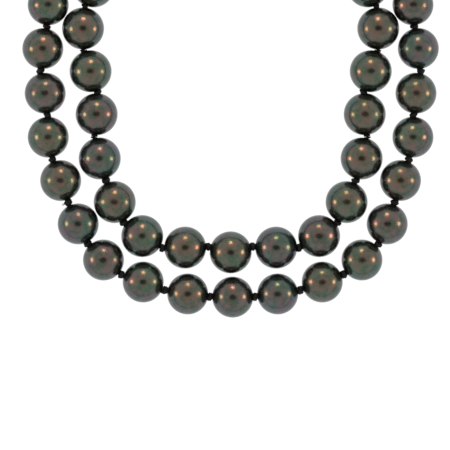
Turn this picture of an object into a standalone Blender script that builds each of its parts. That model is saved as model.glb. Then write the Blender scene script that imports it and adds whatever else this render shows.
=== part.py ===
"""Double-strand dark pearl necklace, laid flat: two knotted strands and a two-row box clasp.

X runs left to right, Y from the front of the necklace to the clasp, Z up from the table.
Each strand is a chain of equal pearls; every link is given by the gap between two pearls
and by the angle the strand makes with the front line.
"""

import math

import bmesh
import bpy
from mathutils import Matrix, Vector

MM = 0.001

# Pearls and silk (mm)
OUTER_D = 12.0
INNER_D = 12.3
BORE_R = 0.75
MOUTH_R = 1.3
MOUTH_DEPTH = 0.8
PEARL_STEPS = 12
PEARL_ARCS = 6
THREAD_R = 0.45
KNOT_R = 1.05
HINGE_KNOT_R = 1.0
THREAD_INSET = 1.2
KNOT_STEPS = ((-0.42, THREAD_R), (-0.24, None), (0.24, None), (0.42, THREAD_R))
BALL_STEPS = ((-0.85, None), (-0.5, 0.85), (0.0, 1.0), (0.5, 0.85), (0.85, None))
END_KNOT = ((0.45, KNOT_R), (1.0, KNOT_R), (1.3, THREAD_R))
SILK_END_Z = 0.3

# Strand routes, counted from the centre pearl: (gap mm, link heading, bore heading in degrees).
# The silk runs straight through each pearl and turns at the knots. The inner strand's centre
# pearl is drilled off its middle.
OUTER_START = (0.6, -82.0)
INNER_START = (0.0, -68.8)
OUTER_LEFT = [(1.3, 4, 8), (1.6, 15, 21), (1.4, 29, 43), (1.0, 55, 64), (1.8, 68, 72),
              (1.3, 74, 84), (1.0, 86, 80), (1.2, 87, 100), (1.0, 97, 93)]
OUTER_RIGHT = [(1.3, 4, 8), (1.6, 15, 21), (1.4, 29, 43), (1.0, 55, 67), (1.4, 73, 72),
               (1.3, 74, 84), (1.0, 86, 80), (1.2, 87, 100), (1.0, 97, 93)]
INNER_SIDE = [(1.2, 6, -2), (0.8, 15, 33), (0.6, 51, 66), (1.3, 71, 74), (0.8, 86, 96),
              (0.5, 82, 71), (0.5, 80, 90), (0.5, 104, 109)]
OUTER_BACK = [(1.2, 95, 97), (1.2, 94, 91), (1.2, 94, 98), (1.2, 102, 108), (1.2, 117, 128),
              (1.2, 138, 148), (1.2, 159, 169)]
INNER_BACK = [(0.8, 95, 90), (0.8, 95, 98), (0.8, 100, 108), (0.8, 116, 128), (0.8, 141, 160)]
CENTRE_HOLE_SHIFT = 1.8

# Two-row box clasp (mm). Blocks are (low corner, high corner) from the clasp's own centre.
CLASP_X = 0.0
CLASP_Y = 75.3
ROW_HALF = 6.7
BOX = ((-8.0, -10.5, 0.0), (7.0, 10.5, 5.2))
CAVITY = ((-7.2, -8.0, 0.8), (9.0, 8.0, 4.5))
TAB_NOTCH = ((5.2, -3.6, 3.5), (9.0, 3.6, 6.5))
COVER = ((-8.6, -11.1, 5.5), (5.0, 11.1, 7.0))
TONGUE = ((-5.8, -6.0, 1.2), (7.8, 6.0, 1.9))
FACE = ((7.3, -10.3, 0.2), (8.0, 10.3, 5.0))
FACE_NOTCH = ((6.0, -3.6, 2.0), (9.0, 3.6, 6.0))
EAR_X = 10.6
EAR_BAR_X = (8.3, 9.6)
EAR_BAR_HALF = 8.4
EAR_Z = (0.8, 1.8)
EAR_DISC_R = 1.9
EAR_HOLE_R = 0.85
LEAF_FOLD = (-5.2, 2.5)
LEAF_HALF_WIDTH = 3.2

PEARL_TONES = {
    "pearl_graphite": (0.075, 0.073, 0.076),
    "pearl_aubergine": (0.085, 0.066, 0.080),
    "pearl_olive": (0.070, 0.078, 0.066),
}
SILK = (0.012, 0.012, 0.014)
METAL = (0.42, 0.42, 0.44)


def clear_scene():
    for old in list(bpy.data.objects):
        bpy.data.objects.remove(old, do_unlink=True)


def new_collection(name):
    col = bpy.data.collections.new(name)
    bpy.context.scene.collection.children.link(col)
    return col


clear_scene()
PARTS = new_collection("pearl_necklace")
CUTTERS = new_collection("cutters")


def material(name, color, roughness, metallic):
    mat = bpy.data.materials.get(name)
    if mat:
        return mat
    mat = bpy.data.materials.new(name)
    mat.use_nodes = True
    shader = mat.node_tree.nodes["Principled BSDF"]
    shader.inputs["Base Color"].default_value = (*color, 1.0)
    shader.inputs["Roughness"].default_value = roughness
    shader.inputs["Metallic"].default_value = metallic
    mat.diffuse_color = (*color, 1.0)
    return mat


def axis_empty(name, at, parent):
    """A body's pivot: an empty standing on its joint axis."""
    empty = bpy.data.objects.new(name, None)
    PARTS.objects.link(empty)
    empty.empty_display_size = 4 * MM
    place = Vector(at) * MM
    if parent:
        empty.parent = parent
        place = place - world_of(parent)
    empty.location = place
    return empty


def world_of(empty):
    total = Vector((0, 0, 0))
    while empty:
        total += empty.location
        empty = empty.parent
    return total


def add_part(name, data, mat, parent, at=(0, 0, 0), rotation=(0, 0, 0)):
    obj = bpy.data.objects.new(name, data)
    PARTS.objects.link(obj)
    obj.parent = parent
    obj.location = Vector(at) * MM - world_of(parent)
    obj.rotation_euler = rotation
    if not data.materials:
        data.materials.append(mat)
    return obj


# ---------------------------------------------------------------- shapes and cuts


def block_mesh(bm, lo, hi):
    centre = [(a + b) / 2 for a, b in zip(lo, hi)]
    size = [b - a for a, b in zip(lo, hi)]
    matrix = Matrix.Translation(Vector(centre) * MM) @ Matrix.Diagonal((*[s * MM for s in size], 1))
    bmesh.ops.create_cube(bm, size=1, matrix=matrix)


def disc_mesh(bm, at, radius, z0, z1, sides=16):
    matrix = Matrix.Translation(Vector((*at, (z0 + z1) / 2)) * MM)
    bmesh.ops.create_cone(bm, cap_ends=True, segments=sides, radius1=radius * MM,
                          radius2=radius * MM, depth=(z1 - z0) * MM, matrix=matrix)


def solid(name, build):
    mesh = bpy.data.meshes.new(name)
    bm = bmesh.new()
    build(bm)
    bm.to_mesh(mesh)
    bm.free()
    return mesh


def cut_with(obj, name, build, mode="DIFFERENCE"):
    cutter = bpy.data.objects.new(name, solid(name, build))
    CUTTERS.objects.link(cutter)
    cutter.hide_render = True
    cutter.display_type = "WIRE"
    cutter.parent = obj.parent
    cutter.location = obj.location
    boolean = obj.modifiers.new(name, "BOOLEAN")
    boolean.operation = mode
    boolean.object = cutter
    boolean.solver = "EXACT"


def drill(bm, pearl, sides=12):
    """Hourglass cutter along the bore of a pearl that is drilled off its middle."""
    half = pearl.half_bore()
    flare = MOUTH_R + (MOUTH_R - BORE_R) / MOUTH_DEPTH
    stations = ((-half - 1, flare), (MOUTH_DEPTH - half, BORE_R), (half - MOUTH_DEPTH, BORE_R),
                (half + 1, flare))
    rings = []
    for x, radius in stations:
        angles = [2 * math.pi * k / sides for k in range(sides)]
        rings.append([bm.verts.new(Vector((x, pearl.shift + radius * math.cos(a),
                                           radius * math.sin(a))) * MM) for a in angles])
    for low, high in zip(rings, rings[1:]):
        for k in range(sides):
            j = (k + 1) % sides
            bm.faces.new((low[k], low[j], high[j], high[k]))
    bm.faces.new(rings[0][::-1])
    bm.faces.new(rings[-1])
    bmesh.ops.recalc_face_normals(bm, faces=bm.faces)


# ---------------------------------------------------------------- strands


class Pearl:
    def __init__(self, name, centre, diameter):
        self.name = name
        self.centre = Vector(centre)
        self.r = diameter / 2
        self.bore = Vector((1, 0, 0))
        self.shift = 0.0

    def hole(self):
        """The middle of the bore, which may lie beside the pearl's own centre."""
        return self.centre + Vector((-self.bore.y, self.bore.x, 0)) * self.shift

    def half_bore(self):
        return math.sqrt(self.r ** 2 - self.shift ** 2)


def step(centre, length, heading, side):
    a = math.radians(heading)
    return centre + Vector((side * math.cos(a), math.sin(a), 0)) * length


def along_bore(heading, side):
    """Unit vector along a bore, always pointing round the strand from left to right."""
    return step(Vector((0, 0, 0)), 1, heading, side) * side


def run_of(prefix, start, side, diameter, links):
    pearls = []
    centre = Vector((*start, diameter / 2))
    for i, (gap, heading, bore) in enumerate(links, 1):
        centre = step(centre, diameter + gap, heading, side)
        pearl = Pearl(f"{prefix}_{i:02d}", centre, diameter)
        pearl.bore = along_bore(bore, side)
        pearls.append(pearl)
    return pearls


def ear_point(side, row):
    return Vector((CLASP_X + side * EAR_X, CLASP_Y + row * ROW_HALF, EAR_Z[1] + 0.1))


def strand(label, start, diameter, left_links, right_links):
    """Pearls of one strand from the clasp's left ear round to its right ear."""
    left = run_of(f"{label}_left", start, -1, diameter, left_links)
    right = run_of(f"{label}_right", start, 1, diameter, right_links)
    middle = Pearl(f"{label}_centre", Vector((*start, diameter / 2)), diameter)
    return {"left": left, "middle": middle, "right": right}


OUTER = strand("outer_pearl", OUTER_START, OUTER_D, OUTER_LEFT + OUTER_BACK,
               OUTER_RIGHT + OUTER_BACK)
INNER = strand("inner_pearl", INNER_START, INNER_D, INNER_SIDE + INNER_BACK,
               INNER_SIDE + INNER_BACK)
INNER["middle"].shift = CENTRE_HOLE_SHIFT


def knot_between(a, b):
    """Where the silk is knotted between two neighbours, a nearer the centre pearl."""
    return (mouth(a, b) + mouth(b, a)) / 2


def mouth(pearl, towards):
    """The end of the pearl's bore that faces its neighbour."""
    way = 1 if pearl.bore.dot(towards.centre - pearl.centre) > 0 else -1
    return pearl.hole() + pearl.bore * way * pearl.half_bore()


def arc(radius, first):
    """Half outline of a pearl from one end of its axis to the other, first radians off it."""
    points = []
    for i in range(PEARL_ARCS + 1):
        a = first + (math.pi - 2 * first) * i / PEARL_ARCS
        points.append((radius * math.sin(a), radius * math.cos(a)))
    return points


def pearl_mesh(name, radius):
    """A drilled pearl: outside arc, countersunk mouths and bore, turned about Z."""
    profile = arc(radius, math.asin(MOUTH_R / radius))
    deep = radius - MOUTH_DEPTH
    return outline_mesh(name, profile + [(BORE_R, -deep), (BORE_R, deep)], True)


def outline_mesh(name, profile, closed):
    mesh = bpy.data.meshes.new(name)
    bm = bmesh.new()
    verts = [bm.verts.new((x * MM, 0, z * MM)) for x, z in profile]
    for a, b in zip(verts, verts[1:] + (verts[:1] if closed else [])):
        bm.edges.new((a, b))
    bm.to_mesh(mesh)
    bm.free()
    return mesh


def add_pearl(pearl, tone, parent):
    whole = pearl.shift != 0
    if whole:
        mesh = outline_mesh(pearl.name, arc(pearl.r, 0), False)
    else:
        mesh = pearl_mesh(pearl.name, pearl.r)
    mat = material(tone, PEARL_TONES[tone], 0.12, 0.25)
    heading = math.atan2(pearl.bore.y, pearl.bore.x)
    obj = add_part(pearl.name, mesh, mat, parent, pearl.centre,
                   (math.pi / 2, 0, heading + math.pi / 2))
    screw = obj.modifiers.new("turn", "SCREW")
    screw.axis = "Z"
    screw.angle = 2 * math.pi
    screw.steps = PEARL_STEPS
    screw.render_steps = PEARL_STEPS
    screw.use_merge_vertices = True
    screw.merge_threshold = 0.00001
    screw.use_smooth_shade = True
    if whole:
        cut_with(obj, f"{pearl.name}_drill", lambda bm: drill(bm, pearl))
    return obj


# ---------------------------------------------------------------- silk


def knot_rings(knot, along, hinge, size):
    """Radius steps of one knot; the ones that act as pivots are round."""
    if hinge:
        ball = min(HINGE_KNOT_R, size - 0.1)
        steps = [(ball * offset, ball * part if part else THREAD_R) for offset, part in BALL_STEPS]
    else:
        steps = [(offset, radius or size) for offset, radius in KNOT_STEPS]
    return [(knot + along * offset, radius) for offset, radius in steps]


def room_for_knot(knot, a, b):
    """A knot beside a turning pearl sits off the bore's line and is drawn up smaller."""
    off = max((knot - p.hole()).cross(p.bore).length for p in (a, b))
    return min(KNOT_R, MOUTH_R - off)


def thread_point(pearl, towards, inset=THREAD_INSET):
    end = mouth(pearl, towards)
    return end + (pearl.hole() - end).normalized() * inset


def between(a, b, hinge):
    """Silk rings from inside pearl a, over the knot, to just inside pearl b."""
    start = thread_point(a, b)
    finish = thread_point(b, a)
    knot = knot_between(a, b)
    along = (finish - start).normalized()
    size = room_for_knot(knot, a, b)
    return [(start, THREAD_R), *knot_rings(knot, along, hinge, size), (finish, THREAD_R)]


def tube(name, rings, mat, parent, resolution=2):
    curve = bpy.data.curves.new(name, "CURVE")
    curve.dimensions = "3D"
    curve.bevel_depth = MM
    curve.bevel_resolution = resolution
    curve.use_fill_caps = True
    spline = curve.splines.new("POLY")
    spline.points.add(len(rings) - 1)
    origin = world_of(parent)
    for point, (place, radius) in zip(spline.points, rings):
        point.co = (*(place * MM - origin), 1)
        point.radius = radius
    obj = bpy.data.objects.new(name, curve)
    PARTS.objects.link(obj)
    obj.parent = parent
    curve.materials.append(mat)
    return obj


def silk_run(name, pearls, before, after, parent):
    """Silk through pearls; an end knot pivots on the pearl before or after the run."""
    rings = []
    if before:
        head = between(before, pearls[0], True)
        rings += head[1:]
    else:
        rings.append((thread_point(pearls[0], reach(pearls, 0)), THREAD_R))
    for a, b in zip(pearls, pearls[1:]):
        rings += between(a, b, False)
    tail = between(pearls[-1], after, True)
    rings += tail[:-1]
    tube(name, dedupe(rings), material("silk", SILK, 0.75, 0.0), parent)


def reach(pearls, i):
    """A stand-in neighbour on the free side of pearl i."""
    other = pearls[i + 1] if len(pearls) > 1 else None
    pearl = pearls[i]
    way = pearl.bore
    if other and way.dot(other.centre - pearl.centre) > 0:
        way = -way
    if not other and way.dot(Vector((0, -1, 0))) < 0:
        way = -way
    return Pearl("free_side", pearl.centre + way * 2 * pearl.r, 2 * pearl.r)


def dedupe(rings):
    kept = [rings[0]]
    for ring in rings[1:]:
        if (ring[0] - kept[-1][0]).length > 0.05:
            kept.append(ring)
    return kept


def sphere_rings(pearl, way):
    """The pearl as swellings of the run, way pointing along the strand."""
    rings = []
    first = math.asin(THREAD_R / pearl.r)
    for i in range(PEARL_ARCS + 1):
        a = first + (math.pi - 2 * first) * i / PEARL_ARCS
        rings.append((pearl.centre - way * pearl.r * math.cos(a), pearl.r * math.sin(a)))
    return rings


def back_run(name, seen, hidden, side, row, tone, parent):
    """Silk through the last separate pearls, then the back pearls strung on it, to the ear."""
    chain = seen + hidden
    rings = [(thread_point(chain[0], reach(chain, 0)), THREAD_R)]
    for a, b in zip(chain, chain[1:]):
        piece = between(a, b, False)
        if a in hidden:
            piece = piece[1:]
        if b in hidden:
            piece = piece[:-1]
        rings += piece
        if b in hidden:
            way = b.bore if b.bore.dot(b.centre - a.centre) > 0 else -b.bore
            rings += sphere_rings(b, way)
    last = hidden[-1]
    ear = ear_point(side, row)
    end = mouth(last, Pearl("ear", ear, 1))
    out = (end - last.centre).normalized()
    for distance, radius in END_KNOT:
        rings.append((end + out * distance, radius))
    rings.append((ear + Vector((0, 0, 2 * THREAD_R)), THREAD_R))
    rings.append((Vector((ear.x, ear.y, SILK_END_Z)), THREAD_R))
    mat = material(tone, PEARL_TONES[tone], 0.12, 0.25)
    tube(name, dedupe(rings), mat, parent, 3)


# ---------------------------------------------------------------- bodies

OL, OC, OR = OUTER["left"], OUTER["middle"], OUTER["right"]
IL, IC, IR = INNER["left"], INNER["middle"], INNER["right"]

# the last pearl of each body before a fold, counted from the centre
FOLD_OUTER = (5, 7)
FOLD_INNER = (3, 5)
SEEN_OUTER = 9
SEEN_INNER = 8


def fold_axis(level):
    """One line across both sides, through the outer strand's knots at this level."""
    last = FOLD_OUTER[level]
    heights = [knot_between(run[last - 1], run[last]).y for run in (OL, OR)]
    return Vector((0, sum(heights) / 2, OUTER_D / 2))


def link_axis(inner_run, level):
    knot = knot_between(inner_run[FOLD_INNER[level] - 1], inner_run[FOLD_INNER[level]])
    return knot


front = axis_empty("body_front", (0, 0, 0), None)
release = axis_empty("axis_clasp_release", knot_between(OC, OR[0]), front)

BODY = {"front": front, "front_right": release}
for side, run_o, run_i, base in (("left", OL, IL, front), ("right", OR, IR, release)):
    mid = axis_empty(f"axis_fold_low_{side}", fold_axis(0), base)
    back = axis_empty(f"axis_fold_high_{side}", fold_axis(1), mid)
    BODY[f"{side}_mid"] = mid
    BODY[f"{side}_back"] = back
    BODY[f"{side}_link_low"] = axis_empty(f"axis_link_low_{side}", link_axis(run_i, 0), base)
    BODY[f"{side}_link_high"] = axis_empty(f"axis_link_high_{side}", link_axis(run_i, 1), mid)

TONES = list(PEARL_TONES)


def tone_of(i, shift):
    return TONES[(i * i + i // 2 + shift) % 3]


add_pearl(OC, tone_of(0, 1), BODY["front"])
add_pearl(IC, tone_of(1, 0), BODY["front"])


def body_outer(side, i):
    if i <= FOLD_OUTER[0]:
        return "front" if side == "left" else "front_right"
    return f"{side}_mid" if i <= FOLD_OUTER[1] else f"{side}_back"


def body_inner(side, i):
    if i <= FOLD_INNER[0]:
        return "front" if side == "left" else "front_right"
    if i == FOLD_INNER[0] + 1:
        return f"{side}_link_low"
    if i <= FOLD_INNER[1]:
        return f"{side}_mid"
    return f"{side}_link_high" if i == FOLD_INNER[1] + 1 else f"{side}_back"


for side, run_o, run_i in (("left", OL, IL), ("right", OR, IR)):
    shift = 0 if side == "left" else 1
    for i, pearl in enumerate(run_o[:SEEN_OUTER], 1):
        add_pearl(pearl, tone_of(i, shift), BODY[body_outer(side, i)])
    for i, pearl in enumerate(run_i[:SEEN_INNER], 1):
        add_pearl(pearl, tone_of(i, shift + 1), BODY[body_inner(side, i)])

silk_run("silk_outer_front", OL[:5][::-1] + [OC], OL[5], OR[0], BODY["front"])
silk_run("silk_inner_front", IL[:3][::-1] + [IC], IL[3], IR[0], BODY["front"])
silk_run("silk_outer_front_right", OR[:5], None, OR[5], BODY["front_right"])
silk_run("silk_inner_front_right", IR[:3], None, IR[3], BODY["front_right"])
for side, run_o, run_i, way in (("left", OL, IL, -1), ("right", OR, IR, 1)):
    silk_run(f"silk_outer_{side}_mid", run_o[5:7], None, run_o[7], BODY[f"{side}_mid"])
    silk_run(f"silk_{side}_link_low", run_i[3:4], None, run_i[4], BODY[f"{side}_link_low"])
    silk_run(f"silk_inner_{side}_mid", run_i[4:5], None, run_i[5], BODY[f"{side}_mid"])
    silk_run(f"silk_{side}_link_high", run_i[5:6], None, run_i[6], BODY[f"{side}_link_high"])
    back_run(f"back_run_outer_{side}", run_o[7:9], run_o[9:], way, 1, "pearl_graphite",
             BODY[f"{side}_back"])
    back_run(f"back_run_inner_{side}", run_i[6:8], run_i[8:], way, -1, "pearl_aubergine",
             BODY[f"{side}_back"])


# ---------------------------------------------------------------- clasp


def soften(obj, width, segments=2):
    bevel = obj.modifiers.new("edges", "BEVEL")
    bevel.width = width * MM
    bevel.segments = segments
    bevel.limit_method = "ANGLE"
    bevel.angle_limit = math.radians(50)
    return bevel


CLASP = (CLASP_X, CLASP_Y, 0)
STEEL = material("clasp_metal", METAL, 0.22, 1.0)
BRIGHT = material("clasp_cover_metal", (0.50, 0.50, 0.52), 0.18, 1.0)
SPRING = material("spring_metal", (0.38, 0.38, 0.40), 0.28, 1.0)


def block(name, corners, mat, parent):
    return add_part(name, solid(name, lambda bm: block_mesh(bm, *corners)), mat, parent, CLASP)


box = block("clasp_box", BOX, STEEL, BODY["left_back"])
soften(box, 0.5)
cut_with(box, "box_cavity", lambda bm: block_mesh(bm, *CAVITY))
cut_with(box, "box_tab_notch", lambda bm: block_mesh(bm, *TAB_NOTCH))

cover = block("clasp_cover", COVER, BRIGHT, BODY["left_back"])
soften(cover, 0.7, 3)


def ear_bar(bm, side):
    near, far = sorted(side * x for x in EAR_BAR_X)
    block_mesh(bm, (near, -EAR_BAR_HALF, EAR_Z[0]), (far, EAR_BAR_HALF, EAR_Z[1]))


def ear_disc(row, side):
    return lambda bm: disc_mesh(bm, (side * EAR_X, row * ROW_HALF), EAR_DISC_R, *EAR_Z)


def ear_hole(row, side):
    return lambda bm: disc_mesh(bm, (side * EAR_X, row * ROW_HALF), EAR_HOLE_R, -1, 4)


for side, way in (("left", -1), ("right", 1)):
    name = f"clasp_ears_{side}"
    bar = add_part(name, solid(name, lambda bm: ear_bar(bm, way)), STEEL, BODY[f"{side}_back"], CLASP)
    for row in (-1, 1):
        cut_with(bar, f"ear_{side}_{row}", ear_disc(row, way), "UNION")
    for row in (-1, 1):
        cut_with(bar, f"ear_hole_{side}_{row}", ear_hole(row, way))

tongue = block("clasp_tongue", TONGUE, STEEL, BODY["right_back"])
cut_with(tongue, "tongue_face", lambda bm: block_mesh(bm, *FACE), "UNION")
cut_with(tongue, "face_notch", lambda bm: block_mesh(bm, *FACE_NOTCH))

leaf_axis = (CLASP_X + LEAF_FOLD[0], CLASP_Y, LEAF_FOLD[1])
leaf_body = axis_empty("axis_spring_leaf", leaf_axis, BODY["right_back"])


def leaf_outline():
    """Side view of the spring leaf, X and Z from the clasp's centre."""
    top = [(-5.7, 2.75), (4.4, 3.95), (6.6, 3.75), (8.4, 3.75), (8.4, 7.6)]
    low = [(8.95, 7.6), (8.95, 3.25), (6.5, 3.25), (4.4, 3.45), (-5.7, 2.25)]
    return top + low


def leaf_build(bm):
    outline = leaf_outline()
    rows = []
    fold_x, fold_z = LEAF_FOLD
    for y in (-LEAF_HALF_WIDTH, LEAF_HALF_WIDTH):
        rows.append([bm.verts.new(Vector((x - fold_x, y, z - fold_z)) * MM) for x, z in outline])
    count = len(outline)
    bm.faces.new(rows[0])
    bm.faces.new(rows[1][::-1])
    for i in range(count):
        j = (i + 1) % count
        bm.faces.new((rows[0][j], rows[0][i], rows[1][i], rows[1][j]))
    bmesh.ops.recalc_face_normals(bm, faces=bm.faces)


add_part("clasp_spring_leaf", solid("clasp_spring_leaf", leaf_build), SPRING, leaf_body, leaf_axis)
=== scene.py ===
"""Double-strand dark pearl necklace lying on a white table, seen from straight above."""

import math
import random

import bmesh
import bpy
from mathutils import Matrix, Vector


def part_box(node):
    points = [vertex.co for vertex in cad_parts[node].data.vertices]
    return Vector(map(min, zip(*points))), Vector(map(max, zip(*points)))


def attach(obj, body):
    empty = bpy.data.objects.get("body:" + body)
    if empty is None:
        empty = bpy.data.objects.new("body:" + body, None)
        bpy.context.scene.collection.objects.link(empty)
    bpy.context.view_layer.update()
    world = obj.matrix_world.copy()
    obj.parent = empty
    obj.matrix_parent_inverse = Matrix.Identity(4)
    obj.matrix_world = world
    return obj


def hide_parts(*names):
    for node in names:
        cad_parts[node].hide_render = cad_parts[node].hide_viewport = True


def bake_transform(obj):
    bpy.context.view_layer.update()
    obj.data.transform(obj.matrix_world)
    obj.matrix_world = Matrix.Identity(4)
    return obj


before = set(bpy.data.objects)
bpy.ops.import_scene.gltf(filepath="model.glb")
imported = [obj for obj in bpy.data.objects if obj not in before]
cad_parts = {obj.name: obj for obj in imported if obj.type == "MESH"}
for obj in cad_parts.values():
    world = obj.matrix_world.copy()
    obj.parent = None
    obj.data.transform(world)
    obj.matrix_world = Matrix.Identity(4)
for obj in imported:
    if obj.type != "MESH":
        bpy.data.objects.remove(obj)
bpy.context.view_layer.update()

MM = 0.001

# ---------------------------------------------------------------- strand routes
# Per link from the centre pearl: gap (mm), link heading and bore heading (degrees). Helper
# scripts measured the seen links from the photo and closed the loop with the back ones; all were
# then rounded by hand. The silk runs straight through each pearl and turns at the knots.

OUTER_D = 12.0
INNER_D = 12.3
OUTER_START = (0.6, -82.0)
INNER_START = (0.0, -68.8)
OUTER_LEFT = [(1.3, 4, 8), (1.6, 15, 21), (1.4, 29, 43), (1.0, 55, 64), (1.8, 68, 72),
              (1.3, 74, 84), (1.0, 86, 80), (1.2, 87, 100), (1.0, 97, 93)]
OUTER_RIGHT = [(1.3, 4, 8), (1.6, 15, 21), (1.4, 29, 43), (1.0, 55, 67), (1.4, 73, 72),
               (1.3, 74, 84), (1.0, 86, 80), (1.2, 87, 100), (1.0, 97, 93)]
INNER_SIDE = [(1.2, 6, -2), (0.8, 15, 33), (0.6, 51, 66), (1.3, 71, 74), (0.8, 86, 96),
              (0.5, 82, 71), (0.5, 80, 90), (0.5, 104, 109)]
OUTER_BACK = [(1.2, 95, 97), (1.2, 94, 91), (1.2, 94, 98), (1.2, 102, 108), (1.2, 117, 128),
              (1.2, 138, 148), (1.2, 159, 169)]
INNER_BACK = [(0.8, 95, 90), (0.8, 95, 98), (0.8, 100, 108), (0.8, 116, 128), (0.8, 141, 160)]
CENTRE_HOLE_SHIFT = 1.8  # the inner centre pearl is drilled this far off its middle

CLASP = Vector((0.0, 75.3, 0.0))  # middle of the clasp, at the table
ROW_HALF = 6.7  # from the clasp's middle line to each strand's row
EAR_X = 10.6
EAR_Z = 1.9

BORE_R = 0.58
MOUTH_R = 0.78
SKIN = 0.07  # the pearls are this much fuller in radius than the solids, to match the photo

THREAD_R = 0.43
KNOT_R = 1.24
HALF_KNOT_R = 1.0
KNOT_STEPS = 44
SHALLOW = 0.3  # guide points of the silk lie this far inside a pearl's mouth
DEEP = 1.0
KNOT_TAIL = 1.5  # a knot's own silk ends this far inside the mouth

# the last pearl of each body before a fold, counted from the centre pearl
FOLD_OUTER = (5, 7)
FOLD_INNER = (3, 5)
SEEN_OUTER = 9
SEEN_INNER = 8


class Pearl:
    def __init__(self, name, centre, diameter):
        self.name = name
        self.centre = Vector(centre)
        self.r = diameter / 2
        self.bore = Vector((1, 0, 0))
        self.shift = 0.0

    def hole(self):
        """The middle of the bore, which may lie beside the pearl's own centre."""
        return self.centre + Vector((-self.bore.y, self.bore.x, 0)) * self.shift

    def half_bore(self):
        return math.sqrt(self.r ** 2 - self.shift ** 2)


def step(centre, length, heading, side):
    a = math.radians(heading)
    return centre + Vector((side * math.cos(a), math.sin(a), 0)) * length


def along_bore(heading, side):
    """Unit vector along a bore, always pointing round the strand from left to right."""
    return step(Vector((0, 0, 0)), 1, heading, side) * side


def run_of(prefix, start, side, diameter, links):
    pearls = []
    centre = Vector((*start, diameter / 2))
    for i, (gap, heading, bore) in enumerate(links, 1):
        centre = step(centre, diameter + gap, heading, side)
        pearl = Pearl(f"{prefix}_{i:02d}", centre, diameter)
        pearl.bore = along_bore(bore, side)
        pearls.append(pearl)
    return pearls


def ear_point(side, row):
    return CLASP + Vector((side * EAR_X, row * ROW_HALF, EAR_Z))


def strand(label, start, diameter, left_links, right_links):
    left = run_of(f"{label}_left", start, -1, diameter, left_links)
    right = run_of(f"{label}_right", start, 1, diameter, right_links)
    middle = Pearl(f"{label}_centre", Vector((*start, diameter / 2)), diameter)
    return left, middle, right


OL, OC, OR = strand("outer_pearl", OUTER_START, OUTER_D, OUTER_LEFT + OUTER_BACK,
                    OUTER_RIGHT + OUTER_BACK)
IL, IC, IR = strand("inner_pearl", INNER_START, INNER_D, INNER_SIDE + INNER_BACK,
                    INNER_SIDE + INNER_BACK)
IC.shift = CENTRE_HOLE_SHIFT


def mouth(pearl, towards):
    way = 1 if pearl.bore.dot(towards.centre - pearl.centre) > 0 else -1
    return pearl.hole() + pearl.bore * way * pearl.half_bore()


def body_outer(side, i):
    if i <= FOLD_OUTER[0]:
        return "front" if side == "left" else "front_right"
    return f"{side}_mid" if i <= FOLD_OUTER[1] else f"{side}_back"


def body_inner(side, i):
    if i <= FOLD_INNER[0]:
        return "front" if side == "left" else "front_right"
    if i == FOLD_INNER[0] + 1:
        return f"{side}_link_low"
    if i <= FOLD_INNER[1]:
        return f"{side}_mid"
    return f"{side}_link_high" if i == FOLD_INNER[1] + 1 else f"{side}_back"


# ---------------------------------------------------------------- materials


class Nodes:
    """Short way to write a node tree."""

    def __init__(self, name):
        self.mat = bpy.data.materials.new(name)
        self.mat.use_nodes = True
        self.tree = self.mat.node_tree
        self.shader = self.tree.nodes["Principled BSDF"]

    def add(self, kind, **values):
        node = self.tree.nodes.new(kind)
        for key, value in values.items():
            if key in node.inputs:
                node.inputs[key].default_value = value
            else:
                setattr(node, key, value)
        return node

    def join(self, a, b):
        self.tree.links.new(a, b)

    def ramp(self, source, stops):
        node = self.tree.nodes.new("ShaderNodeValToRGB")
        while len(node.color_ramp.elements) < len(stops):
            node.color_ramp.elements.new(0.5)
        for element, (at, color) in zip(node.color_ramp.elements, stops):
            element.position = at
            element.color = (*color, 1)
        self.join(source, node.inputs[0])
        return node.outputs["Color"]

    def noise(self, scale, detail=2.0, roughness=0.5, offset=(0, 0, 0)):
        coords = self.tree.nodes.new("ShaderNodeTexCoord")
        shift = self.add("ShaderNodeMapping")
        shift.inputs["Location"].default_value = offset
        self.join(coords.outputs["Object"], shift.inputs["Vector"])
        node = self.add("ShaderNodeTexNoise", Scale=scale, Detail=detail, Roughness=roughness)
        self.join(shift.outputs["Vector"], node.inputs["Vector"])
        return node.outputs["Fac"]

    def mix(self, a, b, mode, factor):
        node = self.tree.nodes.new("ShaderNodeMix")
        node.data_type = "RGBA"
        node.blend_type = mode
        node.inputs[0].default_value = factor
        self.join(a, node.inputs[6])
        self.join(b, node.inputs[7])
        return node.outputs[2]

    def bump(self, height, strength, distance):
        node = self.add("ShaderNodeBump", Strength=strength, Distance=distance)
        self.join(height, node.inputs["Height"])
        self.join(node.outputs["Normal"], self.shader.inputs["Normal"])

    def set(self, **values):
        for key, value in values.items():
            self.shader.inputs[key.replace("_", " ")].default_value = value


# noise scales of the nacre, in waves per metre
PATCHES = 190
MOTTLE = 480
SPECKS = 1900
SHEEN_WAVES = 420
RIPPLES = 500
RIPPLE_STRENGTH = 0.01
RIPPLE_HEIGHT = 0.00002
NACRE_ROUGHNESS = (0.24, 0.28)
SEED_OFFSET = (0.013, 0.027, 0.019)


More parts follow.
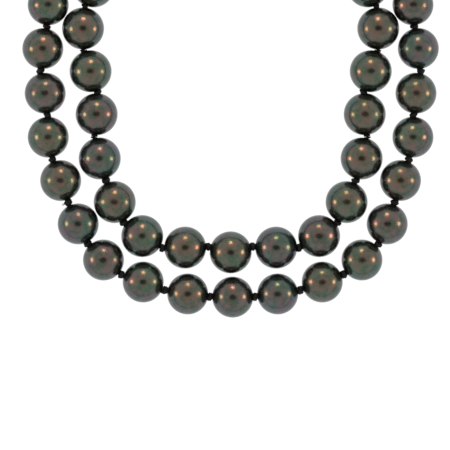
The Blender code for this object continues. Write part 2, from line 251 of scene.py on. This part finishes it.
def nacre(name, cool, warm, seed):
    """Dark nacre: a satin coloured body under a thin clear skin, with a painted warm glow where it
    faces the viewer.
    """
    m = Nodes(name)
    offset = tuple(part * seed for part in SEED_OFFSET)
    body = tuple((a + b) / 2 for a, b in zip(cool, warm))
    large = m.ramp(m.noise(PATCHES, 2.0, 0.5, offset), ((0.42, cool), (0.5, body), (0.58, warm)))
    fine = m.ramp(m.noise(MOTTLE, 3.0, 0.65, offset),
                  ((0.41, (0.62, 0.88, 0.76)), (0.5, (1, 1, 1)), (0.59, (1.34, 1.02, 1.08))))
    mixed = m.mix(large, fine, "MULTIPLY", 1.0)
    specks = m.ramp(m.noise(SPECKS, 1.0, 0.5, offset), ((0.24, (0.4, 0.4, 0.4)), (0.31, (1, 1, 1))))
    # painted light: the colour is lifted to a warm, brighter glow where the nacre faces the viewer
    # and turns cooler towards the rim
    facing = m.add("ShaderNodeLayerWeight", Blend=0.5).outputs["Facing"]
    painted_warm_glow = m.ramp(facing, ((0.04, (1.12, 1.02, 0.93)), (0.34, (0.92, 1.0, 1.08))))
    speckled = m.mix(mixed, specks, "MULTIPLY", 1.0)
    m.join(m.mix(speckled, painted_warm_glow, "MULTIPLY", 1.0), m.shader.inputs["Base Color"])
    rough = m.add("ShaderNodeMapRange")
    rough.inputs["From Min"].default_value = 0.3
    rough.inputs["From Max"].default_value = 0.7
    rough.inputs["To Min"].default_value = NACRE_ROUGHNESS[0]
    rough.inputs["To Max"].default_value = NACRE_ROUGHNESS[1]
    m.join(m.noise(SHEEN_WAVES, 3.0, 0.6, offset), rough.inputs["Value"])
    m.join(rough.outputs["Result"], m.shader.inputs["Roughness"])
    m.bump(m.noise(RIPPLES, 2.0, 0.5, offset), RIPPLE_STRENGTH, RIPPLE_HEIGHT)
    m.set(Specular_Tint=(0.6, 0.6, 0.6, 1), Metallic=0.95, Coat_Weight=0.55, Coat_IOR=1.46,
          Coat_Roughness=0.10)
    return m.mat


GREEN = (0.064, 0.098, 0.080)
SEA = (0.064, 0.094, 0.090)
GREY = (0.077, 0.088, 0.082)
BROWN = (0.088, 0.086, 0.074)
PINK = (0.092, 0.081, 0.085)
AUBERGINE = (0.085, 0.079, 0.089)

NACRES = [
    nacre("nacre_grey_green", GREEN, BROWN, 1),
    nacre("nacre_green_pink", GREEN, PINK, 2),
    nacre("nacre_grey_brown", GREY, BROWN, 3),
    nacre("nacre_sea_aubergine", SEA, AUBERGINE, 4),
    nacre("nacre_brown_green", BROWN, GREEN, 5),
    nacre("nacre_grey", GREY, PINK, 6),
]


def silk_material():
    m = Nodes("knotted_silk")
    fibre = m.noise(5200, 3.0, 0.6)
    color = m.ramp(fibre, ((0.3, (0.003, 0.004, 0.006)), (0.75, (0.012, 0.014, 0.019))))
    m.join(color, m.shader.inputs["Base Color"])
    m.bump(m.noise(9000, 2.0, 0.5), 0.4, 0.00003)
    m.set(Roughness=0.62, Specular_IOR_Level=0.22, Sheen_Weight=0.04, Sheen_Roughness=0.4,
          Sheen_Tint=(0.6, 0.65, 0.75, 1))
    return m.mat


def metal_material(name, color, roughness, scratch):
    m = Nodes(name)
    wear = m.noise(scratch, 4.0, 0.6)
    low = tuple(c * 0.86 for c in color)
    m.join(m.ramp(wear, ((0.35, low), (0.65, color))), m.shader.inputs["Base Color"])
    rough = m.add("ShaderNodeMapRange")
    rough.inputs["To Min"].default_value = roughness * 0.7
    rough.inputs["To Max"].default_value = roughness * 1.4
    m.join(wear, rough.inputs["Value"])
    m.join(rough.outputs["Result"], m.shader.inputs["Roughness"])
    m.bump(m.noise(scratch * 3, 3.0, 0.5), 0.12, 0.00003)
    m.set(Metallic=1.0)
    return m.mat


SILK = silk_material()
SATIN = metal_material("satin_silver", (0.58, 0.57, 0.55), 0.26, 700)
POLISHED = metal_material("polished_silver", (0.66, 0.65, 0.63), 0.15, 500)
SPRING = metal_material("spring_strip", (0.50, 0.50, 0.50), 0.22, 900)
GIMP = metal_material("gimp_wire", (0.42, 0.42, 0.44), 0.28, 1500)

# ---------------------------------------------------------------- mesh builders


def new_mesh(name, verts, faces, mat, smooth=True):
    mesh = bpy.data.meshes.new(name)
    mesh.from_pydata([tuple(v) for v in verts], [], faces)
    mesh.update()
    obj = bpy.data.objects.new(name, mesh)
    bpy.context.scene.collection.objects.link(obj)
    mesh.materials.append(mat)
    if smooth:
        mesh.polygons.foreach_set("use_smooth", [True] * len(mesh.polygons))
    return obj


PEARL_SIDES = 56
PEARL_STATIONS = 30
MOUTH_BEND = ((0.70, 0.03), (0.62, 0.12), (BORE_R, 0.28))


def pearl_verts(pearl):
    """Turned about its bore (Z here): outside, rounded mouth, bore, rounded mouth."""
    half = pearl.half_bore() + SKIN
    first = math.asin(MOUTH_R / half)
    rim = half * math.cos(first)
    verts = []
    for k in range(PEARL_SIDES):
        turn = 2 * math.pi * k / PEARL_SIDES
        cos_turn, sin_turn = math.cos(turn), math.sin(turn)
        outline = []
        for i in range(PEARL_STATIONS + 1):
            a = first + (math.pi - 2 * first) * i / PEARL_STATIONS
            lean = pearl.shift * math.sin(a) * cos_turn
            reach = math.sqrt(lean * lean + half * half) - lean
            outline.append((reach * math.sin(a), reach * math.cos(a)))
        outline += [(r, -rim + d) for r, d in MOUTH_BEND]
        outline += [(r, rim - d) for r, d in MOUTH_BEND[::-1]]
        verts += [(r * cos_turn * MM, r * sin_turn * MM, z * MM) for r, z in outline]
    return verts, len(outline)


def add_pearl(pearl, mat, body, node):
    verts, n = pearl_verts(pearl)
    faces = []
    for k in range(PEARL_SIDES):
        j = (k + 1) % PEARL_SIDES
        for i in range(n):
            h = (i + 1) % n
            faces.append((k * n + i, k * n + h, j * n + h, j * n + i))
    obj = new_mesh(pearl.name + "_bead", verts, faces, mat)
    along = pearl.bore
    inward = Vector((-along.y, along.x, 0))
    turn = Matrix((inward, along.cross(inward), along)).transposed()
    obj.location = pearl.hole() * MM
    obj.rotation_euler = turn.to_euler()
    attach(obj, body)
    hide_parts(node)


def between(p0, p1, p2, p3, t):
    """Catmull-Rom: the point at t between p1 and p2."""
    return 0.5 * ((2 * p1) + (p2 - p0) * t + (2 * p0 - 5 * p1 + 4 * p2 - p3) * t * t
                  + (3 * p1 - p0 - 3 * p2 + p3) * t ** 3)


def smooth_path(points, spacing):
    """A smooth curve through the points, resampled evenly."""
    pts = [Vector(p) for p in points]
    pts = [pts[0] * 2 - pts[1], *pts, pts[-1] * 2 - pts[-2]]
    fine = []
    for i in range(1, len(pts) - 2):
        p0, p1, p2, p3 = pts[i - 1:i + 3]
        count = max(2, int((p2 - p1).length / spacing))
        for k in range(count):
            fine.append(between(p0, p1, p2, p3, k / count))
    fine.append(pts[-2])
    return fine


def rope(name, path, radius, mat, sides=12, plies=3, lay=1.6, groove=0.16, coil=0.0):
    """A twisted cord along a path: plies wind round it once per lay; coil adds wire rings."""
    radii = radius if isinstance(radius, list) else [radius] * len(path)
    verts = []
    tangent = (path[1] - path[0]).normalized()
    up = tangent.orthogonal().normalized()
    travelled = 0.0
    for i, point in enumerate(path):
        ahead = path[min(i + 1, len(path) - 1)] - path[max(i - 1, 0)]
        if ahead.length > 1e-6:
            new_tangent = ahead.normalized()
            up = (tangent.rotation_difference(new_tangent) @ up).normalized()
            tangent = new_tangent
        side = tangent.cross(up).normalized()
        if i:
            travelled += (point - path[i - 1]).length
        for k in range(sides):
            a = 2 * math.pi * k / sides
            twist = 2 * math.pi * travelled / lay
            lobe = abs(math.cos(plies * (a - twist) / 2))
            r = radii[i] * (1 - groove + groove * lobe)
            if coil:
                r *= 0.9 + 0.1 * abs(math.sin(math.pi * travelled / coil))
            verts.append((point + (up * math.cos(a) + side * math.sin(a)) * r) * MM)
    faces = []
    for i in range(len(path) - 1):
        for k in range(sides):
            j = (k + 1) % sides
            faces.append((i * sides + k, i * sides + j, (i + 1) * sides + j, (i + 1) * sides + k))
    faces.append(tuple(range(sides))[::-1])
    last = (len(path) - 1) * sides
    faces.append(tuple(last + k for k in range(sides)))
    return new_mesh(name, verts, faces, mat)


def inside(pearl, towards, inset):
    end = mouth(pearl, towards)
    return end + (pearl.hole() - end).normalized() * inset


def knot_path(a, b, seed, half_only=False):
    """Centre line and radii of an overhand knot of silk between pearls a and b; half of a knot
    keeps to pearl a's side of the gap."""
    rng = random.Random(seed)
    start, finish = mouth(a, b), mouth(b, a)
    centre = (start + finish) / 2
    axis = (finish - start).normalized()
    gap = (finish - start).length
    u = axis.orthogonal().normalized()
    v = axis.cross(u)
    cord = min(0.52, max(0.40, 0.30 + 0.14 * gap))
    wide = KNOT_R - cord + rng.uniform(-0.03, 0.08)
    half = min(0.64, max(0.14, gap / 2 - 0.18))
    turns = rng.choice((2.2, 2.35, 2.5))
    if half_only:
        cord = min(0.28, 0.24 * gap)
        wide = HALF_KNOT_R - cord
        half = 0.03
        centre = centre - axis * (cord + 0.05)
    phase = rng.uniform(0, 2 * math.pi)
    hand = rng.choice((-1, 1))
    ripple = 0.02 if half_only else 0.12
    points = []
    radii = []
    for k in range(KNOT_STEPS + 1):
        t = k / KNOT_STEPS
        swell = min(1.0, 7.0 * t, 7.0 * (1 - t))
        swell = swell * swell * (3 - 2 * swell)
        a_turn = phase + hand * 2 * math.pi * turns * t
        wobble = 1 + 0.10 * math.sin(3 * a_turn + seed)
        along = half * (2 * t - 1) + ripple * math.sin(2 * a_turn)
        spoke = (u * math.cos(a_turn) + v * math.sin(a_turn)) * wide * swell * wobble
        points.append(centre + axis * along + spoke)
        radii.append(THREAD_R + (cord - THREAD_R) * swell)
    return points, radii


def silk_through(name, pearls, seed, body, node, head, tail):
    """Silk through one body's pearls, knotted between them; head and tail are the neighbours on
    its free sides."""
    points, radii = [], []

    def put(p, r=THREAD_R):
        points.append(p)
        radii.append(r)

    first, last = pearls[0], pearls[-1]
    put(inside(first, head, DEEP))
    put(first.hole())
    for i, (a, b) in enumerate(zip(pearls, pearls[1:])):
        put(inside(a, b, DEEP))
        put(inside(a, b, SHALLOW))
        knot, sizes = knot_path(a, b, seed * 37 + i)
        points.extend(knot)
        radii.extend(sizes)
        put(inside(b, a, SHALLOW))
        put(inside(b, a, DEEP))
        if b is not last:
            put(b.hole())
    if len(pearls) > 1:
        put(last.hole())
    put(inside(last, tail, DEEP))
    finish_silk(name, points, radii, body, node)


SILK_SPACING = 0.11
STRAIGHT = 1.5  # longer steps run straight through a bore
LONG = 3.0  # and still longer ones need few points
LONG_POINTS = 12
MOST_POINTS = 40


def resample(points, radii):
    """A smooth path through the points, straight in the bores, with radii carried along."""
    out_p, out_r = [], []
    pts = [points[0] * 2 - points[1], *points, points[-1] * 2 - points[-2]]
    rr = [radii[0], *radii, radii[-1]]
    for i in range(1, len(pts) - 2):
        p0, p1, p2, p3 = pts[i - 1:i + 3]
        length = (p2 - p1).length
        count = max(1, min(MOST_POINTS, int(length / SILK_SPACING)))
        if length > LONG:
            count = LONG_POINTS
        for k in range(count):
            t = k / count
            if length > STRAIGHT:
                out_p.append(p1.lerp(p2, t))
            else:
                out_p.append(between(p0, p1, p2, p3, t))
            out_r.append(rr[i] * (1 - t) + rr[i + 1] * t)
    out_p.append(points[-1])
    out_r.append(radii[-1])
    return out_p, out_r


def finish_silk(name, points, radii, body, node):
    """Silk rope along the points, attached to the body if one is given."""
    path, sizes = resample(points, radii)
    obj = rope(name, path, sizes, SILK)
    if body:
        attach(obj, body)
    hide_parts(node)
    return obj


def hinge_knot(name, a, b, seed, node):
    """A knot between pearls a and b where two bodies meet; its silk is left on no body."""
    knot, sizes = knot_path(a, b, seed)
    points = [inside(a, b, KNOT_TAIL), inside(a, b, SHALLOW), *knot,
              inside(b, a, SHALLOW), inside(b, a, KNOT_TAIL)]
    radii = [THREAD_R, THREAD_R, *sizes, THREAD_R, THREAD_R]
    obj = finish_silk(name, points, radii, None, node)
    start, end = mouth(a, b), mouth(b, a)
    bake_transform(obj)


def knot_on(name, a, b, seed, body, node, half_only=False):
    """A knot that pearl a carries, on the side towards b."""
    knot, sizes = knot_path(a, b, seed, half_only)
    points = [inside(a, b, KNOT_TAIL), inside(a, b, SHALLOW), *knot]
    finish_silk(name, points, [THREAD_R, THREAD_R, *sizes], body, node)


def shared_knot(name, a, b, seed, body_a, body_b, node_a, node_b):
    """A knot between bodies that share no joint: each pearl carries the turns on its own side."""
    knot_on(f"{name}_near", a, b, seed, body_a, node_a, True)
    knot_on(f"{name}_far", b, a, seed + 100, body_b, node_b, True)


# ---------------------------------------------------------------- pearls

TONE_ORDER = [0, 2, 1, 5, 3, 4, 0, 5, 2, 1, 4, 3, 5, 0, 2, 4]


def tone(i, shift):
    return NACRES[TONE_ORDER[(i + shift) % len(TONE_ORDER)]]


add_pearl(OC, NACRES[5], "front", "outer_pearl_centre")
add_pearl(IC, NACRES[4], "front", "inner_pearl_centre")
for side, run_o, run_i, shift in (("left", OL, IL, 0), ("right", OR, IR, 3)):
    for i, pearl in enumerate(run_o, 1):
        node = pearl.name if i <= SEEN_OUTER else f"back_run_outer_{side}"
        add_pearl(pearl, tone(i, shift), body_outer(side, i), node)
    for i, pearl in enumerate(run_i, 1):
        node = pearl.name if i <= SEEN_INNER else f"back_run_inner_{side}"
        add_pearl(pearl, tone(i, shift + 7), body_inner(side, i), node)

# ---------------------------------------------------------------- silk

silk_through("silk_thread_outer_front", OL[:5][::-1] + [OC], 1, "front", "silk_outer_front",
             OL[5], OR[0])
silk_through("silk_thread_inner_front", IL[:3][::-1] + [IC], 2, "front", "silk_inner_front",
             IL[3], IR[0])
silk_through("silk_thread_outer_front_right", OR[:5], 3, "front_right", "silk_outer_front_right",
             OC, OR[5])
silk_through("silk_thread_inner_front_right", IR[:3], 4, "front_right", "silk_inner_front_right",
             IC, IR[3])
hinge_knot("silk_knot_outer_release", OC, OR[0], 11, "silk_outer_front")
hinge_knot("silk_knot_inner_release", IC, IR[0], 12, "silk_inner_front")

for side, run_o, run_i, base in (("left", OL, IL, "front"), ("right", OR, IR, "front_right")):
    s = 20 if side == "left" else 50
    mid, back = f"{side}_mid", f"{side}_back"
    low, high = f"{side}_link_low", f"{side}_link_high"
    base_outer = "silk_outer_front" if side == "left" else "silk_outer_front_right"
    base_inner = "silk_inner_front" if side == "left" else "silk_inner_front_right"
    hinge_knot(f"silk_knot_outer_fold_low_{side}", run_o[4], run_o[5], s + 1, base_outer)
    silk_through(f"silk_thread_outer_{side}_mid", run_o[5:7], s + 2, mid, f"silk_outer_{side}_mid",
                 run_o[4], run_o[7])
    hinge_knot(f"silk_knot_outer_fold_high_{side}", run_o[6], run_o[7], s + 3,
               f"silk_outer_{side}_mid")
    hinge_knot(f"silk_knot_link_low_{side}", run_i[2], run_i[3], s + 4, base_inner)
    silk_through(f"silk_thread_{side}_link_low", run_i[3:4], s + 5, low, f"silk_{side}_link_low",
                 run_i[2], run_i[4])
    shared_knot(f"silk_knot_shared_low_{side}", run_i[3], run_i[4], s + 6, low, mid,
                f"silk_{side}_link_low", f"silk_inner_{side}_mid")
    silk_through(f"silk_thread_inner_{side}_mid", run_i[4:5], s + 7, mid, f"silk_inner_{side}_mid",
                 run_i[3], run_i[5])
    hinge_knot(f"silk_knot_link_high_{side}", run_i[4], run_i[5], s + 8,
               f"silk_inner_{side}_mid")
    silk_through(f"silk_thread_{side}_link_high", run_i[5:6], s + 9, high,
                 f"silk_{side}_link_high", run_i[4], run_i[6])
    shared_knot(f"silk_knot_shared_high_{side}", run_i[5], run_i[6], s + 10, high, back,
                f"silk_{side}_link_high", f"back_run_inner_{side}")


def frayed_end(a, b, side, body, node):
    """A few loose fibres of a trimmed silk end, standing out of one knot."""
    rng = random.Random(7)
    root = (mouth(a, b) + mouth(b, a)) / 2 + side * 0.9
    for k in range(5):
        spread = Vector((rng.uniform(-0.6, 0.6), rng.uniform(-0.6, 0.6), rng.uniform(-0.4, 0.5)))
        way = (side + spread * 0.8).normalized()
        droop = Vector((rng.uniform(-0.2, 0.2), rng.uniform(-0.3, 0.1), -0.25))
        length = rng.uniform(0.6, 1.15)
        path = smooth_path([root, root + way * length * 0.5,
                            root + way * length + droop], 0.1)
        fibre = rope(f"silk_fray_{k + 1}", path, 0.05, SILK, sides=6, plies=1, groove=0.0)
        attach(fibre, body)
        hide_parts(node)


frayed_end(OL[3], OL[4], Vector((-0.94, -0.34, 0)), "front", "silk_outer_front")


def way_out(pearl, side, row):
    """The mouth of the last pearl towards its ear, and the direction out of it."""
    away = Pearl("ear", ear_point(side, row), 1)
    end = mouth(pearl, away)
    return end, (end - pearl.centre).normalized()


def back_silk(side, run, first, row, seed, node):
    """Silk of a back run, its closing knot and the gimp loop that holds the clasp's ear."""
    label = node.removeprefix("back_run_")
    way = -1 if side == "left" else 1
    pearls = run[first:]
    last = pearls[-1]
    end, out = way_out(last, way, row)
    stop = Pearl("stop", end + out * 2.4, 0)
    silk_through(f"silk_thread_{label}", pearls, seed, f"{side}_back", node,
                 run[first - 1], stop)
    closing = Pearl("closing", end + out * 1.5, 0.0)
    closing.bore = out
    knot_on(f"silk_knot_end_{label}", last, closing, seed + 5, f"{side}_back", node)
    ear = ear_point(way, row)
    root = end + out * 1.3
    y = Vector((0, 0.42, 0))
    loop = [root + y * 0.4,
            root.lerp(Vector((ear.x, ear.y, 3.6)), 0.6) + y,
            Vector((ear.x, ear.y, 2.7)) + y * 0.6,
            Vector((ear.x, ear.y, 1.3)),
            Vector((ear.x + way * 0.55, ear.y, 0.52)),
            Vector((ear.x + way * 1.5, ear.y, 0.50)),
            Vector((ear.x + way * 2.3, ear.y, 1.1)) - y * 0.4,
            Vector((ear.x + way * 2.55, ear.y, 2.6)) - y,
            root + Vector((way * 0.1, 0, -1.2)) - y,
            root - y * 0.4]
    gimp = rope(f"gimp_loop_{label}", smooth_path(loop, 0.06), 0.40, GIMP, plies=1, groove=0.0,
                coil=0.24)
    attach(gimp, f"{side}_back")
    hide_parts(node)


for side, run_o, run_i in (("left", OL, IL), ("right", OR, IR)):
    s = 80 if side == "left" else 95
    back_silk(side, run_o, 7, 1, s, f"back_run_outer_{side}")
    back_silk(side, run_i, 6, -1, s + 3, f"back_run_inner_{side}")

# ---------------------------------------------------------------- clasp


def finish_cad(name, mat, width):
    """The metal and softly bevelled edges of a clasp solid that is shown as it is."""
    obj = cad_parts[name]
    obj.data.materials.clear()
    obj.data.materials.append(mat)
    bevel = obj.modifiers.new("soft edges", "BEVEL")
    bevel.width = width * MM
    bevel.segments = 2
    bevel.limit_method = "ANGLE"
    bevel.angle_limit = math.radians(40)


for name, mat, width in (("clasp_box", SATIN, 0.12), ("clasp_tongue", POLISHED, 0.1),
                         ("clasp_spring_leaf", SPRING, 0.1), ("clasp_ears_left", POLISHED, 0.16),
                         ("clasp_ears_right", POLISHED, 0.16)):
    finish_cad(name, mat, width)


COVER_CELLS = (60, 180)
PLATE_LEVEL = 0.72  # heights and widths of the cover's relief, in mm
CROWN = 0.62
CROWN_SHARE = 0.42
RIM_HEIGHT, RIM_AT, RIM_WIDTH = 0.30, 0.55, 0.32
FLUTE_HEIGHT, FLUTE_PITCH, FLUTE_FROM, FLUTE_FADE = 0.16, 1.05, 1.2, 0.5
EDGE_FALL, EDGE_WIDTH = 0.45, 0.4


def clasp_cover():
    """Domed cover plate with fine flutes across it and a rolled rim."""
    lo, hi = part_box("clasp_cover")
    lo, hi = Vector(lo) / MM, Vector(hi) / MM
    half_x, half_y = (hi.x - lo.x) / 2, (hi.y - lo.y) / 2
    centre = (lo + hi) / 2
    nx, ny = COVER_CELLS
    thick = hi.z - lo.z
    verts, faces = [], []
    for i in range(nx + 1):
        u = -1 + 2 * i / nx
        for j in range(ny + 1):
            w = -1 + 2 * j / ny
            edge = min((1 - abs(u)) * half_x, (1 - abs(w)) * half_y)
            crown = CROWN * (1 - u * u) * (1 - w ** 4)
            rim = RIM_HEIGHT * math.exp(-((edge - RIM_AT) / RIM_WIDTH) ** 2)
            field = min(1.0, max(0.0, (edge - FLUTE_FROM) / FLUTE_FADE))
            flute = FLUTE_HEIGHT * field * abs(math.sin(math.pi * w * half_y / FLUTE_PITCH))
            fall = EDGE_FALL * max(0.0, 1 - edge / EDGE_WIDTH) ** 2
            z = centre.z - thick / 2 + PLATE_LEVEL + CROWN_SHARE * crown + rim + flute - fall
            verts.append(Vector((centre.x + u * half_x, centre.y + w * half_y, min(z, hi.z))) * MM)
    for i in range(nx):
        for j in range(ny):
            a = i * (ny + 1) + j
            faces.append((a, a + ny + 1, a + ny + 2, a + 1))
    base = len(verts)
    ring = [i * (ny + 1) for i in range(nx + 1)]
    ring += [nx * (ny + 1) + j for j in range(1, ny + 1)]
    ring += [i * (ny + 1) + ny for i in range(nx - 1, -1, -1)]
    ring += [j for j in range(ny - 1, 0, -1)]
    for index in ring:
        v = verts[index]
        verts.append(Vector((v.x, v.y, lo.z * MM)))
    count = len(ring)
    for k in range(count):
        j = (k + 1) % count
        faces.append((ring[k], base + k, base + j, ring[j]))
    faces.append(tuple(base + k for k in range(count)))
    obj = new_mesh("clasp_cover_plate", verts, faces, POLISHED)
    bm = bmesh.new()
    bm.from_mesh(obj.data)
    bmesh.ops.recalc_face_normals(bm, faces=bm.faces)
    bm.to_mesh(obj.data)
    bm.free()
    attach(obj, "left_back")
    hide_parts("clasp_cover")


clasp_cover()

# ---------------------------------------------------------------- table, tent and lights


TABLE_R = 0.34
TABLE_Z = -0.0003
TABLE_SIDES = 96


def table():
    """A round table that glows as white as the background."""
    turns = [2 * math.pi * k / TABLE_SIDES for k in range(TABLE_SIDES)]
    verts = [(TABLE_R * math.cos(a), TABLE_R * math.sin(a), TABLE_Z) for a in turns]
    faces = [tuple(range(TABLE_SIDES))]
    m = Nodes("white_table")
    m.set(Roughness=0.9, Base_Color=(0.04, 0.04, 0.04, 1), Emission_Color=(1, 1, 1, 1),
          Emission_Strength=1.0)
    obj = new_mesh("table", verts, faces, m.mat, smooth=False)


table()


TENT_GREYS = ((0.0, 0.80), (0.44, 0.80), (0.49, 0.66), (0.52, 0.68), (0.56, 0.92), (0.62, 1.06),
              (0.70, 1.04), (0.80, 0.98), (0.92, 0.90), (1.0, 0.84))  # from below to above
TENT_TINT = (1, 0.995, 0.90)
OPENING_X = 0.36  # half widths of the camera's dark opening, in the direction's x and y
OPENING_Y = 0.26
OPENING_EDGE = (0.74, 1.18)  # the soft edge, as parts of those half widths
OPENING_GREY = 0.02
FAR_OFF = 10.0  # keeps a second opening from showing below the horizon


def tent_world():
    """A white light tent: brighter low on its walls, darker where the camera looks in."""
    world = bpy.data.worlds.new("light_tent")
    bpy.context.scene.world = world
    world.use_nodes = True
    tree = world.node_tree
    tree.nodes.clear()
    coords = tree.nodes.new("ShaderNodeTexCoord")
    split = tree.nodes.new("ShaderNodeSeparateXYZ")
    tree.links.new(coords.outputs["Generated"], split.inputs["Vector"])

    def math_node(op, a, b=None):
        node = tree.nodes.new("ShaderNodeMath")
        node.operation = op
        for socket, value in zip(node.inputs, (a, b)):
            if value is None:
                continue
            if isinstance(value, (int, float)):
                socket.default_value = value
            else:
                tree.links.new(value, socket)
        return node.outputs[0]

    x, y, z = split.outputs
    height = tree.nodes.new("ShaderNodeMapRange")
    height.inputs["From Min"].default_value = -1
    height.inputs["From Max"].default_value = 1
    tree.links.new(z, height.inputs["Value"])
    wall = tree.nodes.new("ShaderNodeValToRGB")
    while len(wall.color_ramp.elements) < len(TENT_GREYS):
        wall.color_ramp.elements.new(0.5)
    for element, (at, grey) in zip(wall.color_ramp.elements, TENT_GREYS):
        element.position = at
        element.color = (*(grey * part for part in TENT_TINT), 1)
    tree.links.new(height.outputs["Result"], wall.inputs[0])
    across = math_node("MULTIPLY", x, 1 / OPENING_X)
    along = math_node("MULTIPLY", y, 1 / OPENING_Y)
    square = math_node("ADD", math_node("MULTIPLY", across, across),
                       math_node("MULTIPLY", along, along))
    radius = math_node("SQRT", square)
    below = math_node("LESS_THAN", z, 0.0)
    away = math_node("ADD", radius, math_node("MULTIPLY", below, FAR_OFF))
    lens = tree.nodes.new("ShaderNodeMapRange")
    lens.interpolation_type = "SMOOTHSTEP"
    lens.inputs["From Min"].default_value = OPENING_EDGE[0]
    lens.inputs["From Max"].default_value = OPENING_EDGE[1]
    lens.inputs["To Min"].default_value = OPENING_GREY
    lens.inputs["To Max"].default_value = 1.0
    tree.links.new(away, lens.inputs["Value"])
    mix = tree.nodes.new("ShaderNodeMix")
    mix.data_type = "RGBA"
    mix.blend_type = "MULTIPLY"
    mix.inputs["Factor"].default_value = 1.0
    tree.links.new(wall.outputs["Color"], mix.inputs["A"])
    tree.links.new(lens.outputs["Result"], mix.inputs["B"])
    background = tree.nodes.new("ShaderNodeBackground")
    tree.links.new(mix.outputs["Result"], background.inputs["Color"])
    backdrop = tree.nodes.new("ShaderNodeBackground")
    backdrop.inputs["Color"].default_value = (1, 1, 1, 1)
    rays = tree.nodes.new("ShaderNodeLightPath")
    either = tree.nodes.new("ShaderNodeMixShader")
    tree.links.new(rays.outputs["Is Camera Ray"], either.inputs[0])
    tree.links.new(background.outputs["Background"], either.inputs[1])
    tree.links.new(backdrop.outputs["Background"], either.inputs[2])
    out = tree.nodes.new("ShaderNodeOutputWorld")
    tree.links.new(either.outputs["Shader"], out.inputs["Surface"])


tent_world()

AIM = Vector((0, -50, 6)) * MM
LAMP_DISTANCE = 0.9
LAMP_SIZE = 0.25
LAMP_RADIANCE = 12
LAMP_COLOR = (1.0, 0.52, 0.27)


def lamp(name, direction):
    """A small warm disc lamp outside the tent, looking at the pearls."""
    data = bpy.data.lights.new(name, "AREA")
    data.shape = "DISK"
    data.size = LAMP_SIZE
    area = math.pi * LAMP_SIZE * LAMP_SIZE / 4
    data.energy = LAMP_RADIANCE * math.pi * area
    data.color = LAMP_COLOR
    obj = bpy.data.objects.new(name, data)
    bpy.context.scene.collection.objects.link(obj)
    way = Vector(direction).normalized()
    obj.location = AIM + way * LAMP_DISTANCE
    obj.rotation_euler = (-way).to_track_quat("-Z", "Y").to_euler()


lamp("lamp_left", (-0.927, 0.0, 0.371))
lamp("lamp_right", (0.927, 0.0, 0.371))
lamp("lamp_top", (0.0, 0.823, 0.567))

# ---------------------------------------------------------------- camera

scene = bpy.context.scene
scene.view_settings.view_transform = "Standard"
scene.view_settings.look = "None"
cam_data = bpy.data.cameras.new("camera")
SENSOR = 36
FIELD = 132.75 * MM  # width of the picture at the pearls' middle
HEIGHT = 1.5
VIEW_CENTRE = Vector((-1.67, -60.73, 6.0)) * MM
cam_data.sensor_width = SENSOR
cam_data.lens = SENSOR * HEIGHT / FIELD
cam_data.clip_start = 0.05
cam_data.clip_end = 20
camera = bpy.data.objects.new("camera", cam_data)
scene.collection.objects.link(camera)
camera.location = VIEW_CENTRE + Vector((0, 0, HEIGHT))
camera.rotation_euler = (0, 0, 0)
scene.camera = camera
